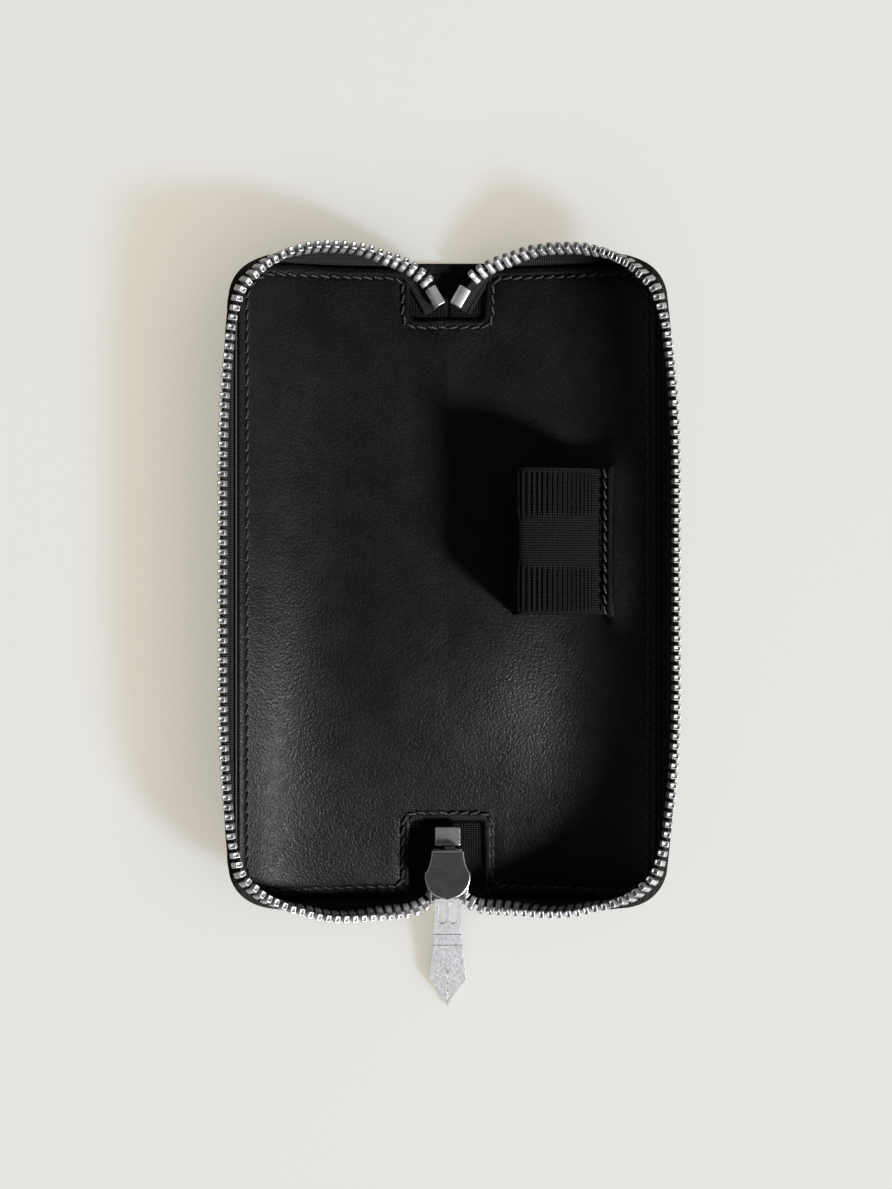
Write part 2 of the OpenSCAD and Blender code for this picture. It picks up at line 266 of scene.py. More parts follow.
def math_node(tree, operation, a, b=0.0):
    return add_node(tree, "ShaderNodeMath", {0: a, 1: b}, operation=operation).outputs[0]


def times(tree, a, b):
    return math_node(tree, "MULTIPLY", a, b)


def plus(tree, a, b):
    return math_node(tree, "ADD", a, b)


def ramp(tree, value, low, high, a, b):
    """value from low to high becomes a to b."""
    return add_node(tree, "ShaderNodeMapRange", {0: value, 1: low, 2: high, 3: a, 4: b}).outputs[0]


def mix_colour(tree, factor, a, b):
    node = add_node(tree, "ShaderNodeMix", {0: factor, 6: (*a, 1), 7: (*b, 1)}, data_type="RGBA")
    return node.outputs[2]


def uv_point(tree, scale=(1, 1, 1), turn=0.0):
    """The surface's own coordinates in millimetres, scaled."""
    uv = add_node(tree, "ShaderNodeUVMap", uv_map="mm").outputs[0]
    return add_node(tree, "ShaderNodeMapping", {"Vector": uv, "Scale": scale,
                                                "Rotation": (0, 0, turn)}).outputs[0]


def object_point(tree):
    """A point of the row frame in millimetres."""
    place = add_node(tree, "ShaderNodeTexCoord").outputs["Object"]
    return add_node(tree, "ShaderNodeMapping", {"Vector": place, "Scale": (1000,) * 3}).outputs[0]


def noise(tree, point, scale, detail=3.0, rough=0.55):
    return add_node(tree, "ShaderNodeTexNoise", {"Vector": point, "Scale": scale, "Detail": detail,
                                                 "Roughness": rough}).outputs[0]


def bump(tree, height, depth, under=None):
    """depth is how far, in millimetres, a height of 1 stands above one of 0. under is a bump below it."""
    inputs = {"Height": height, "Distance": depth * MM}
    if under is not None:
        inputs["Normal"] = under
    return add_node(tree, "ShaderNodeBump", inputs).outputs[0]


def grey(value):
    return value, value, value


def shader(name):
    material = bpy.data.materials.new(name)
    material.use_nodes = True
    return material, material.node_tree, material.node_tree.nodes["Principled BSDF"]


UV_GAP = 37.0
PAD_FALL = 10.0
PAD_HILLS = [(2.0, -25.0, 24.0, 3.8), (-30.0, 30.0, 26.0, -2.2)]


def padding(tree):
    """Height, in millimetres, of the soft padding: it lies flatter than the board, with broad hills."""
    uv = add_node(tree, "ShaderNodeUVMap", uv_map="mm").outputs[0]
    parts = add_node(tree, "ShaderNodeSeparateXYZ", {0: uv})
    u, y = parts.outputs[0], parts.outputs[1]
    x = math_node(tree, "SUBTRACT", u, times(tree, math_node(tree, "SIGN", u), UV_GAP))
    turn = ramp(tree, math_node(tree, "ABSOLUTE", x), 9.0, 55.0, 0.0, math.pi)
    height = times(tree, math_node(tree, "COSINE", turn), PAD_FALL / 2)
    barrel = times(tree, times(tree, y, y), -0.0025)
    height = plus(tree, height, barrel)
    for at_x, at_y, width, tall in PAD_HILLS:
        dx, dy = math_node(tree, "SUBTRACT", x, at_x), math_node(tree, "SUBTRACT", y, at_y)
        square = plus(tree, times(tree, dx, dx), times(tree, dy, dy))
        hill = math_node(tree, "EXPONENT", times(tree, square, -1 / width ** 2))
        height = plus(tree, height, times(tree, hill, tall))
    return bump(tree, height, 1.0)


def leather(name, dark, light, grain, depth, rough, specular, padded=False):
    """Pebbled leather: rounded cells with creases between them, fine pores and uneven polish."""
    material, tree, surface = shader(name)
    point = uv_point(tree)
    cells = add_node(tree, "ShaderNodeTexVoronoi", {"Vector": point, "Scale": 1 / grain, "Randomness": 1.0},
                     feature="SMOOTH_F1").outputs["Distance"]
    pebble = ramp(tree, cells, 0.1, 0.7, 1.0, 0.0)
    fine = noise(tree, point, 5.0, 2.0, 0.6)
    height = plus(tree, pebble, times(tree, fine, 0.4))
    tree.links.new(bump(tree, height, depth, padding(tree) if padded else None), surface.inputs["Normal"])
    # The colour has broad random patches, the leather's own tone, and is darker in the creases between
    # pebbles: painted shade.
    patches = noise(tree, point, 0.09, 3.0)
    tone_and_painted_shade = times(tree, ramp(tree, patches, 0.35, 0.65, 0.55, 1.0),
                      ramp(tree, pebble, 0.0, 1.0, 0.5, 1.0))
    tree.links.new(mix_colour(tree, tone_and_painted_shade, dark, light), surface.inputs["Base Color"])
    polish = ramp(tree, noise(tree, point, 0.35, 3.0), 0.3, 0.7, rough - 0.07, rough + 0.08)
    tree.links.new(math_node(tree, "SUBTRACT", polish, times(tree, pebble, 0.05)),
                   surface.inputs["Roughness"])
    surface.inputs["Specular IOR Level"].default_value = specular
    return material


def woven(name, dark, light, pitch, depth, sheen):
    """Plain weave: threads over and under each other, pitch apart, with a little fuzz."""
    material, tree, surface = shader(name)
    point = uv_point(tree, (math.pi / pitch[0], math.pi / pitch[1], 1))
    parts = add_node(tree, "ShaderNodeSeparateXYZ", {0: point})
    across = math_node(tree, "SINE", parts.outputs[0])
    along = math_node(tree, "SINE", parts.outputs[1])
    cross = times(tree, across, along)
    thread = math_node(tree, "ABSOLUTE", cross)
    fuzz = noise(tree, uv_point(tree), 5.0, 4.0, 0.7)
    height = plus(tree, times(tree, thread, 0.8),
                       times(tree, fuzz, 0.35))
    tree.links.new(bump(tree, height, depth), surface.inputs["Normal"])
    # Darker in the gaps between threads: painted shade. The fuzz varies the tone at random.
    tone_and_painted_shade = times(tree, ramp(tree, thread, 0.0, 0.8, 0.25, 1.0),
                      ramp(tree, fuzz, 0.3, 0.7, 0.6, 1.0))
    tree.links.new(mix_colour(tree, tone_and_painted_shade, dark, light), surface.inputs["Base Color"])
    surface.inputs["Roughness"].default_value = 0.55
    surface.inputs["Specular IOR Level"].default_value = 0.1
    surface.inputs["Sheen Weight"].default_value = sheen
    surface.inputs["Sheen Roughness"].default_value = 0.4
    return material


def metal(name, base, worn, rough, brush=(0.4, 6.0, 3.0), depth=0.004):
    """Plated metal with faint brushing, uneven polish and darker, duller patches."""
    material, tree, surface = shader(name)
    place = object_point(tree)
    streaks = noise(tree, add_node(tree, "ShaderNodeMapping", {"Vector": place, "Scale": brush}).outputs[0],
                    1.6, 4.0, 0.6)
    smears = noise(tree, place, 0.35, 3.0)
    tree.links.new(bump(tree, streaks, depth), surface.inputs["Normal"])
    tree.links.new(mix_colour(tree, ramp(tree, smears, 0.35, 0.7, 0.0, 1.0), base, worn),
                   surface.inputs["Base Color"])
    tree.links.new(ramp(tree, streaks, 0.3, 0.7, rough - 0.06, rough + 0.08), surface.inputs["Roughness"])
    surface.inputs["Metallic"].default_value = 1.0
    return material


def thread_material():
    """Waxed twisted thread."""
    material, tree, surface = shader("thread")
    twist = math_node(tree, "SINE", times(tree, add_node(
        tree, "ShaderNodeSeparateXYZ", {0: uv_point(tree, (1, 1, 1), 0.7)}).outputs[0], 14.0))
    tree.links.new(bump(tree, twist, 0.05), surface.inputs["Normal"])
    # Darker in the grooves of the twist and lighter on its ridges: painted shade.
    tree.links.new(mix_colour(tree, ramp(tree, twist, -1, 1, 0.2, 1.0), grey(0.002),
                              grey(0.018)), surface.inputs["Base Color"])
    surface.inputs["Roughness"].default_value = 0.4
    surface.inputs["Specular IOR Level"].default_value = 0.35
    return material


def plain_board():
    """Stiffening board with fibres, coloured near black so that where it shows it reads as shade: painted
    shade.
    """
    material, tree, surface = shader("board")
    fibres = noise(tree, object_point(tree), 2.5, 5.0, 0.7)
    tree.links.new(mix_colour(tree, fibres, grey(0.012), (0.03, 0.029, 0.027)),
                   surface.inputs["Base Color"])
    tree.links.new(bump(tree, fibres, 0.05), surface.inputs["Normal"])
    surface.inputs["Roughness"].default_value = 0.9
    return material


# Painted shadow on the floor: which way its occlusion looks, how far it reaches, and the glow inside and
# outside it.
FLOOR_LAMP_WAY = (0.62, -0.52, 0.59)
PAINTED_SHADOW_REACH = 0.038
GLOW_IN_PAINTED_SHADOW, GLOW_OPEN = 0.31, 0.68


def floor_material():
    """Matt pale paper that glows though it is no lamp: painted light. The glow fades where something near
    stands between it and the lamp: a painted shadow.
    """
    material, tree, surface = shader("floor")
    tint = noise(tree, object_point(tree), 0.004, 2.0)
    tree.links.new(mix_colour(tree, tint, (0.062, 0.084, 0.120), (0.065, 0.088, 0.123)),
                   surface.inputs["Base Color"])
    surface.inputs["Roughness"].default_value = 0.95
    surface.inputs["Specular IOR Level"].default_value = 0.0
    # The glow is warm, so the painted shadow is warm too.
    surface.inputs["Emission Color"].default_value = (1.0, 0.935, 0.80, 1)
    toward_lamp = add_node(tree, "ShaderNodeCombineXYZ", dict(enumerate(FLOOR_LAMP_WAY))).outputs[0]
    painted_shadow_ao = add_node(tree, "ShaderNodeAmbientOcclusion", {"Distance": PAINTED_SHADOW_REACH, "Normal": toward_lamp},
                        samples=8)
    tree.links.new(ramp(tree, painted_shadow_ao.outputs["AO"], 0.12, 0.9, GLOW_IN_PAINTED_SHADOW, GLOW_OPEN),
                   surface.inputs["Emission Strength"])
    return material


LOOKS = {
    "outer_leather": leather("outer_leather", grey(0.002), grey(0.006), 0.9, 0.12, 0.5, 0.12),
    "lining_leather": leather("lining_leather", grey(0.002), grey(0.0125), 0.5, 0.085, 0.45, 0.1, True),
    "zip_tape": woven("zip_tape", grey(0.001), grey(0.022), (0.62, 0.5), 0.25, 0.0),
    # The tape's ends in the notches: a near-black copy of the tape, painted shade.
    "tape_tail": woven("tape_tail", grey(0.0), grey(0.0025), (0.62, 0.5), 0.2, 0.0),
    "elastic": woven("elastic", grey(0.0003), grey(0.0045), (0.4, 0.6), 0.2, 0.0),
    "teeth": metal("teeth", (0.5, 0.5, 0.51), (0.38, 0.38, 0.39), 0.56),
    "stops": metal("stops", (0.75, 0.75, 0.76), (0.6, 0.6, 0.61), 0.4),
    "slider": metal("slider", (0.42, 0.42, 0.43), (0.3, 0.3, 0.31), 0.32),
    "cap": metal("cap", (0.09, 0.09, 0.092), (0.072, 0.072, 0.074), 0.42),
    # Bright metal for the rims round flat tops: a painted highlight.
    "rim_painted_highlight": metal("rim_painted_highlight", (0.8, 0.8, 0.81), (0.65, 0.65, 0.66), 0.25),
    "pull": metal("pull", (0.68, 0.68, 0.695), (0.65, 0.65, 0.665), 0.38, (3.0, 0.3, 3.0), 0.0003),
    "spring": metal("spring", (0.7, 0.55, 0.3), (0.6, 0.45, 0.22), 0.3),
    "thread": thread_material(),
    "board": plain_board(),
}


def paint(piece, slot, look=None):
    """Gives a new piece the material named by look, or by its slot."""
    piece.data.materials.clear()
    piece.data.materials.append(LOOKS[look or slot])
    return piece


# ---------------- leather shells and seams

EDGE_STEPS = np.array([0, 0.06, 0.16, 0.3, 0.48, 0.75, 1.05, 1.4, 1.8, 2.15, 2.45, 2.75, 3.2, 3.8, 4.6,
                       5.6])


def corner_end(x, outer_x, end_y, radius):
    """How far along y a rounded panel reaches at x."""
    over = np.clip(x - (outer_x - radius), 0, radius)
    return end_y - radius + np.sqrt(np.maximum(radius ** 2 - over ** 2, 0))


def polyline_distance(points, line):
    """Least distance from each point to a line of points, all in 2-D."""
    best = np.full(len(points), 1e9)
    for a, b in zip(line[:-1], line[1:]):
        d = b - a
        length = d @ d
        t = np.clip(((points - a) @ d) / length, 0, 1) if length > 0 else np.zeros(len(points))
        best = np.minimum(best, np.hypot(*(points - a - t[:, None] * d).T))
    return best


def leather_half(name, columns, top, bottom, core, shape):
    """Half of a leather layer, from the spine's middle outward, as a closed shell.

    columns are the x of its grid lines, top and bottom how far it reaches at each, core the y range that
    every column shares. shape(distance from the edge, x, y) gives the lift of its two faces.
    """
    steps = EDGE_STEPS
    inner = np.linspace(core[0], core[1], 60)
    fill = np.linspace(0, 1, 8)[1:]
    rows = []
    for x, y1, y0 in zip(columns, top, bottom):
        low = y0 + steps
        high = (y1 - steps)[::-1]
        rows.append(np.concatenate([low, lerp(low[-1], core[0], fill), inner[1:-1],
                                    lerp(core[1], high[0], fill - fill[0]), high]))
    y = np.array(rows)
    x = np.repeat(columns[:, None], y.shape[1], 1)
    flat = np.stack([along_at(x), y], -1)
    border = np.concatenate([flat[:, 0], flat[-1], flat[::-1, -1]])
    distance = polyline_distance(flat.reshape(-1, 2), border).reshape(y.shape)
    high, low = shape(distance, x, y)
    n_rows, n_cols = y.shape
    verts = np.concatenate([on_layer(x, y, high).reshape(-1, 3), on_layer(x, y, low).reshape(-1, 3)])
    faces = shell_faces(n_rows, n_cols, open_start=True)
    uvs = np.concatenate([flat.reshape(-1, 2)] * 2)
    return name, verts, faces, uvs


def place_half(parts, side, slot, replaced=()):
    """Makes a half on one side of the spine."""
    name, verts, faces, uvs = parts
    sign = SIDES[side]
    uvs = uvs * (sign, 1) + (UV_GAP * sign, 0)
    piece = outward(mesh_object(f"{name}_{side}", mirror_points(verts, sign), faces, uvs, weld=True))
    paint(piece, slot)
    over_fold(piece)
    for node in replaced:
        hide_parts(node)
    return piece


def over_fold(piece):
    """Bakes a finished piece's transform into its mesh."""
    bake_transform(piece)


def rounded_lift(distance, radius):
    """1 inside, falling to 0 at the edge as a quarter circle."""
    t = np.clip(distance / radius, 0, 1)
    return np.sqrt(1 - (1 - t) ** 2)


def outer_leather():
    """The outer skin: from the spine's middle to the turned edge that the zip is sewn to."""
    columns = np.concatenate([np.arange(0, 6, 1.2), np.arange(6, 13, 0.5), np.arange(13, edge_x - 6.5, 1.3),
                              (edge_x - EDGE_STEPS)[::-1]])
    end = corner_end(columns, edge_x, half_l, corner_r + 2.5)
    middle = -layers_t / 2 + cover_t / 2

    def shape(distance, x, y):
        lift = rounded_lift(distance, 0.55) * cover_t / 2
        stitch = 0.12 * np.exp(-((distance - SEAM_INSET) / 0.45) ** 2)
        return middle + lift, middle - lift + stitch * (distance > 0.6)

    return leather_half("outer_leather", columns, end, -end, (-66, 66), shape)


SEAM_INSET = 2.5
NOTCH_SEAM = 1.9
NOTCH_CORNER = 1.8
NOTCH_MOUTH = 3.0


def loop_ridge(x, y):
    """How far the lining is pulled up where the pen loop's end is sewn in."""
    lo, hi = node_box("loop_welt")
    along = smooth((y - lo[1] + 6) / 11) * smooth((hi[1] + 9 - y) / 11)
    top = lo[0] + 1.9
    return 2.6 * np.exp(-((x - top) / np.where(x < top, 1.7, 4.6)) ** 2) * along


def lining(side):
    """The lining: cut back to a notch at each end of the spine, with a sunk seam round its edge."""
    near = EDGE_STEPS[:12]
    columns = np.unique(np.concatenate([
        np.arange(0, notch_x - 3.2, 1.0), notch_x - near, notch_x + near,
        np.arange(notch_x + 3.2, lining_x - 6.5, 1.1), lining_x - EDGE_STEPS]).round(4))

    def reach(end, notch):
        """How far the lining reaches at each column, towards one end."""
        inside = columns <= notch_x
        over = np.clip(columns - (notch_x - NOTCH_CORNER), 0, NOTCH_CORNER)
        cut = notch + NOTCH_CORNER - np.sqrt(NOTCH_CORNER ** 2 - over ** 2)
        lip = np.clip(notch_x + NOTCH_MOUTH - columns, 0, NOTCH_MOUTH)
        full = np.minimum(corner_end(columns, lining_x, end, corner_r - 1.3),
                          end - NOTCH_MOUTH + np.sqrt(NOTCH_MOUTH ** 2 - lip ** 2))
        return np.where(inside, cut, full)

    top = reach(lining_y, notch_top)
    bottom = -reach(lining_y, -notch_bottom)
    middle = layers_t / 2 - lining_t / 2

    def shape(distance, x, y):
        roll = rounded_lift(distance, 0.5) * lining_t / 2
        near_notch = smooth((notch_x + 3 - x) / 1.5)
        seam = lerp(SEAM_INSET, NOTCH_SEAM, near_notch)
        groove = 0.22 * np.exp(-((distance - seam) / 0.42) ** 2)
        pad = (0.2 * np.exp(-((distance - seam * 0.5) / 0.55) ** 2)
               + 0.12 * smooth((distance - seam - 0.4) / 2.5))
        ripple = np.sin(x * 0.16 + 0.3 * np.sin(y * 0.05)) * np.cos(y * 0.045 + 0.4)
        wave = 0.35 * ripple * smooth(distance / 9)
        wave += 0.45 * np.exp(-(x / 3.2) ** 2 - ((y - notch_top + 5.6) / 2.6) ** 2)
        if side == "right":
            wave += loop_ridge(x, y)
        return middle + roll + (pad - groove + wave) * smooth(distance / 0.6), middle - roll

    return leather_half("lining", columns, top, bottom, (notch_bottom + 6.3, notch_top - 6.3), shape)


def rounded_path(corners, step=0.25):
    """Points along straight lines through (x, y, corner radius), with each corner turned as an arc."""
    points = [np.array(corners[0][:2], float)]
    for before, here, after in zip(corners, corners[1:], corners[2:]):
        p, r = np.array(here[:2], float), here[2]
        u = np.array(before[:2]) - p
        v = np.array(after[:2]) - p
        u, v = u / np.linalg.norm(u), v / np.linalg.norm(v)
        half = math.acos(np.clip(u @ v, -1, 1)) / 2
        back = r / math.tan(half)
        centre = p + (u + v) / np.linalg.norm(u + v) * r / math.sin(half)
        a, b = p + u * back - centre, p + v * back - centre
        for t in np.linspace(0, 1, 9):
            arc = a * (1 - t) + b * t
            points.append(centre + arc / np.linalg.norm(arc) * r)
    points.append(np.array(corners[-1][:2], float))
    return even_points(np.array(points), step)


def even_points(points, step):
    """The same line with points at equal steps along it."""
    run = np.concatenate([[0], np.cumsum(np.linalg.norm(np.diff(points, axis=0), axis=1))])
    n = max(2, int(round(run[-1] / step)) + 1)
    at = np.linspace(0, run[-1], n)
    return np.stack([np.interp(at, run, points[:, k]) for k in range(points.shape[1])], 1)


def seam_line():
    """The sewn line of one side, from the bottom notch round to the top notch."""
    out = lining_x - SEAM_INSET * math.cos(float(slope_at(lining_x)))
    end = lining_y - SEAM_INSET
    x_notch = notch_x + NOTCH_SEAM
    y_low, y_high = notch_bottom + NOTCH_SEAM, notch_top - NOTCH_SEAM
    r = corner_r - 3.4
    return rounded_path([(0, y_low, 0), (x_notch, y_low, 2.4), (x_notch, -end, 1.6), (out, -end, r),
                         (out, end, r), (x_notch, end, 1.6), (x_notch, y_high, 2.4), (0, y_high, 0)])


STITCH_PITCH = 2.62
STITCH_L = 2.75
THREAD_R = 0.32


def stitches(name, line, side, lift, face, slant=0.2):
    """Thread along a line of (x, y) points: each stitch rises out of its hole and sinks into the next.

    face is 1 on the lining and -1 on the outside.
    """
    sign = SIDES[side]
    spots = even_points(line, STITCH_PITCH)
    ahead = np.diff(spots, axis=0)
    around, rings = 7, 9
    verts, faces, uvs = [], [], []
    for i, (spot, way) in enumerate(zip(spots, ahead)):
        middle = spot + way / 2
        way = way / np.linalg.norm(way)
        a = float(slope_at(middle[0]))
        up = np.array([-math.sin(a), 0, math.cos(a)]) * face
        along = np.array([way[0], way[1], way[0] * math.tan(a)])
        along -= up * (along @ up)
        along /= np.linalg.norm(along)
        across = np.cross(up, along)
        along, across = (along * math.cos(slant) + across * math.sin(slant),
                         across * math.cos(slant) - along * math.sin(slant))
        centre = on_layer(middle[0], middle[1], lift)
        start = len(verts)
        for k in range(rings):
            t = 2 * k / (rings - 1) - 1
            radius = THREAD_R * math.sqrt(max(0.05, 1 - abs(t) ** 5))
            height = 0.2 * (1 - t * t) - 0.1
            for j in range(around):
                angle = 2 * math.pi * j / around
                verts.append(centre + along * t * STITCH_L / 2 + up * (height + radius * math.sin(angle))
                             + across * radius * 1.15 * math.cos(angle))
                uvs.append((t * STITCH_L / 2 + i, j * 0.2))
        faces += tube_faces(rings, around, start)
    piece = outward(mesh_object(f"{name}_{side}", mirror_points(verts, sign), faces, uvs))
    paint(piece, "thread")
    over_fold(piece)
    return piece


# ---------------- the line of the zip

foot_inset = (edge_x - lining_x) / 2
foot_r = corner_r - foot_inset
foot_x = edge_x - foot_inset
foot_y = half_l - foot_inset
straight_y = foot_y - foot_r
straight_x = foot_x - foot_r
corner_l = foot_r * math.pi / 2
LEAVE_X = 14.0
leave_d = straight_y + corner_l + straight_x - LEAVE_X
corner_d = straight_y + 6.7
TOOTH_TIP = 2.3
TOOTH_LEG = 1.05
BEAD_R = 0.62
# How far outside its foot the row of teeth reaches, at the middle of a side and at either end
REACH = {"left": (3.5, 4.9, 4.9), "right": (4.3, 4.5, 3.7)}
CORNER_REACH = -1.3


def foot_plan(d):
    """Place and direction outward of the tape's foot, d along it from the middle of a side."""
    q = np.abs(d)
    a = np.clip((q - straight_y) / corner_l, 0, 1) * math.pi / 2
    x = straight_x + foot_r * np.cos(a) - np.maximum(q - straight_y - corner_l, 0)
    y = np.minimum(q, straight_y) + foot_r * np.sin(a)
    s = np.sign(d)
    return np.stack([x, s * y], -1), np.stack([np.cos(a), s * np.sin(a)], -1)


def teeth_reach(d, side):
    """Out along sides and ends, in at the corners."""
    q = np.abs(d)
    middle, top, bottom = REACH[side]
    along = lerp(middle, CORNER_REACH, np.clip((q - 20) / (corner_d - 20), 0, 1) ** 2.6)
    far = np.where(d > 0, top, bottom)
    end = lerp(CORNER_REACH, far, smooth((q - corner_d) / np.where(d > 0, 20, 25)))
    fall = np.maximum(0, q - (leave_d - np.where(d > 0, 9, 3)))
    return np.where(q < corner_d, along, end) - 0.03 * fall ** 2


def rim_z(d, x):
    """Height of the teeth's tips: a little above the straight line from the fold to the panel's edge."""
    return fold_z + (x - fold_x) * chord_z / chord_x + lerp(6.0, 6.9, smooth((np.abs(d) - straight_y) / 27))


def tooth_tilt(d):
    """Angle of the teeth above the horizontal: upright on the sides, in at the corners, out on the ends."""
    q = np.abs(d)
    lean = 34 * smooth((q - straight_y + 12) / 18) * (1 - smooth((q - corner_d - 4) / 14))
    wall = lerp(87.0, 74.0, smooth((q - straight_y) / 22)) + lean
    return np.radians(wall * lerp(1.0, 0.6, smooth((q - leave_d + 10) / 10)))


def bezier(p, t):
    t = np.asarray(t)[:, None]
    return p[0] * (1 - t) ** 3 + 3 * p[1] * t * (1 - t) ** 2 + 3 * p[2] * t * t * (1 - t) + p[3] * t ** 3


class ZipLine:
    """A tape as rows of points: foot, bead, direction outward and tilt of the teeth.

    It runs from the bottom notch, along the end wall, round the side and into the top notch.
    """

    TOP_BEAD_END = (1.9, 67.4, 4.3)
    TOP_BEAD_WAY = (-0.42, -0.86, -0.22)
    BOTTOM_BEAD_END = (3.9, -75.9, 4.9)
    BOTTOM_BEAD_WAY = (-0.62, 0.74, -0.25)

    def __init__(self, side):
        d = np.linspace(-leave_d, leave_d, 420)
        plan, out = foot_plan(d)
        tilt = tooth_tilt(d)
        window = np.hanning(19)
        reach = np.convolve(np.pad(teeth_reach(d, side), 9, "edge"), window / window.sum(), "valid")
        lean = np.maximum(TOOTH_TIP * np.cos(tilt), -TOOTH_LEG * np.cos(tilt))
        reach = reach - lean - 1.15 * np.sin(tilt)
        foot_z = surface_z(plan[:, 0]) - layers_t / 2 + cover_t + 0.1
        bead_z = rim_z(d, plan[:, 0]) - TOOTH_TIP * np.sin(tilt)
        foot = np.column_stack([plan + out * 0.45, foot_z])
        bead = np.column_stack([plan + out * reach[:, None], bead_z])
        top = self.leave(foot[-1], bead[-1], bead[-1] - bead[-2], np.array(self.TOP_BEAD_END),
                         self.TOP_BEAD_WAY, [(10.4, 76.0, 2.2), (7.9, 71.0, 1.9), (5.2, 65.6, 1.8)])
        low = self.leave(foot[0], bead[0], bead[0] - bead[1], np.array(self.BOTTOM_BEAD_END),
                         self.BOTTOM_BEAD_WAY, [(8.6, -77.4, 2.4), (7.6, -76.4, 2.4), (6.2, -74.6, 3.2)])
        self.foot = np.concatenate([low[0][::-1], foot[1:-1], top[0]])
        self.bead = np.concatenate([low[1][::-1], bead[1:-1], top[1]])
        ahead = np.gradient(self.bead, axis=0)
        ahead /= np.linalg.norm(ahead, axis=1)[:, None]
        self.out = np.column_stack([ahead[:, 1], -ahead[:, 0], 0 * ahead[:, 0]])
        self.out /= np.linalg.norm(self.out, axis=1)[:, None]
        self.ahead = ahead
        self.run = np.concatenate([[0], np.cumsum(np.linalg.norm(np.diff(self.bead, axis=0), axis=1))])
        flat = smooth(np.linspace(0, 1, len(top[0])))
        end_tilt = np.radians(8)
        self.tilt = np.concatenate([lerp(tilt[0], end_tilt, flat)[::-1], tilt[1:-1],
                                    lerp(tilt[-1], end_tilt, flat)])

    @staticmethod
    def leave(foot, bead, way, end, end_way, feet):
        """Where the tape leaves the end wall and curves into a notch."""
        way = way / np.linalg.norm(way)
        end_way = np.array(end_way)
        t = np.linspace(0, 1, 60)
        reach = np.linalg.norm(end - bead) * 0.38
        bead_line = bezier([bead, bead + way * reach, end - end_way * reach, end], t)
        return bezier([foot] + [np.array(p) for p in feet], t), bead_line

    def at(self, run):
        """Foot, bead, direction outward, direction ahead and tilt at a distance along the bead."""
        def mix(rows):
            return np.array([np.interp(run, self.run, rows[:, k]) for k in range(rows.shape[1])])
        tilt = float(np.interp(run, self.run, self.tilt))
        return mix(self.foot), mix(self.bead), mix(self.out), mix(self.ahead), tilt


zip_lines = {side: ZipLine(side) for side in SIDES}
TAPE_T = 0.5
RIB_STEP = 0.16


def zip_tape(side):
    """The woven wall, with ribs woven in above the foot and a cord in its edge."""
    sign = SIDES[side]
    line = zip_lines[side]
    height = np.linspace(0, 0.92, 34)
    rib = 0.4 * np.maximum(0, np.cos(2 * math.pi * height / RIB_STEP)) * ((height > 0.05) & (height < 0.84))
    hem = 1 - smooth((height - 0.05) / 0.3)
    cord = np.radians(np.arange(-60, 241, 37.5))
    rows, uvs = [], []
    for run in np.linspace(0, line.run[-1], 330):
        foot, bead, out, _, _ = line.at(run)
        wall = bead - foot
        tall = np.linalg.norm(wall)
        normal = out - wall * (out @ wall) / tall ** 2
        normal /= np.linalg.norm(normal)
        bulge = 0.7 * np.sin(math.pi * height) * smooth(height * 3)
        centre = foot + np.outer(height, wall) + np.outer(bulge, normal)
        outer = centre + np.outer(TAPE_T / 2 + rib + 0.15 * hem, normal)
        inner = centre - np.outer(TAPE_T / 2 + 0.5 * rib + 0.5 * hem, normal)
        up = wall / tall
        round_bead = [bead + BEAD_R * (normal * math.cos(a) + up * math.sin(a)) for a in cord]
        rows.append(np.concatenate([outer, round_bead, inner[::-1]]))
        v = height * tall
        uvs.append([(run, k) for k in v] + [(run, v[-1] + 0.25 * k) for k in range(len(cord))]
                   + [(run, k + 20) for k in v[::-1]])
    verts = mirror_points(np.array(rows).reshape(-1, 3), sign)
    faces = tube_faces(len(rows), len(rows[0]))
    piece = outward(mesh_object(f"zip_tape_{side}", verts, faces, np.array(uvs).reshape(-1, 2)))
    paint(piece, "zip_tape")
    over_fold(piece)
    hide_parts(f"{side}_zip_tape")
    return piece


# The zip bends between the notch, where the spine holds it, and the end walls of a side
TOOTH_PITCH = 2.33
# Along a tooth, from its legs round the bead to its hollow tip: place, half width, half height
TOOTH_SECTIONS = [(-TOOTH_LEG, 0.5, 0.6), (-1.0, 0.68, 0.95), (-0.85, 0.74, 1.1), (0.3, 0.74, 1.14),
                  (0.7, 0.66, 1.0), (1.0, 0.64, 0.92), (1.4, 0.7, 0.95), (1.9, 0.72, 0.95),
                  (2.16, 0.68, 0.9), (TOOTH_TIP, 0.56, 0.78), (2.28, 0.42, 0.6), (2.05, 0.34, 0.5),
                  (1.85, 0.3, 0.44)]
DIMPLES = (0.0, 1.65)


def tooth_points():
    """Rings of one tooth that stands along x, with a dimple in each lobe."""
    angles = np.radians(np.arange(0, 360, 30) + 15)
    c, s = np.cos(angles), np.sin(angles)
    rings = []
    for x, w, h in TOOTH_SECTIONS:
        y = w * np.sign(c) * np.abs(c) ** 0.3
        z = h * np.sign(s) * np.abs(s) ** 0.3
        dip = sum(0.3 * math.exp(-((x - at) / 0.3) ** 2) * np.exp(-(y / 0.32) ** 2) for at in DIMPLES)
        rings.append(np.column_stack([np.full(len(angles), x), y, z - dip * np.sign(z)]))
    return np.array(rings)


TOP_TEETH_END = 6.4
BOTTOM_TEETH_START = 0.9


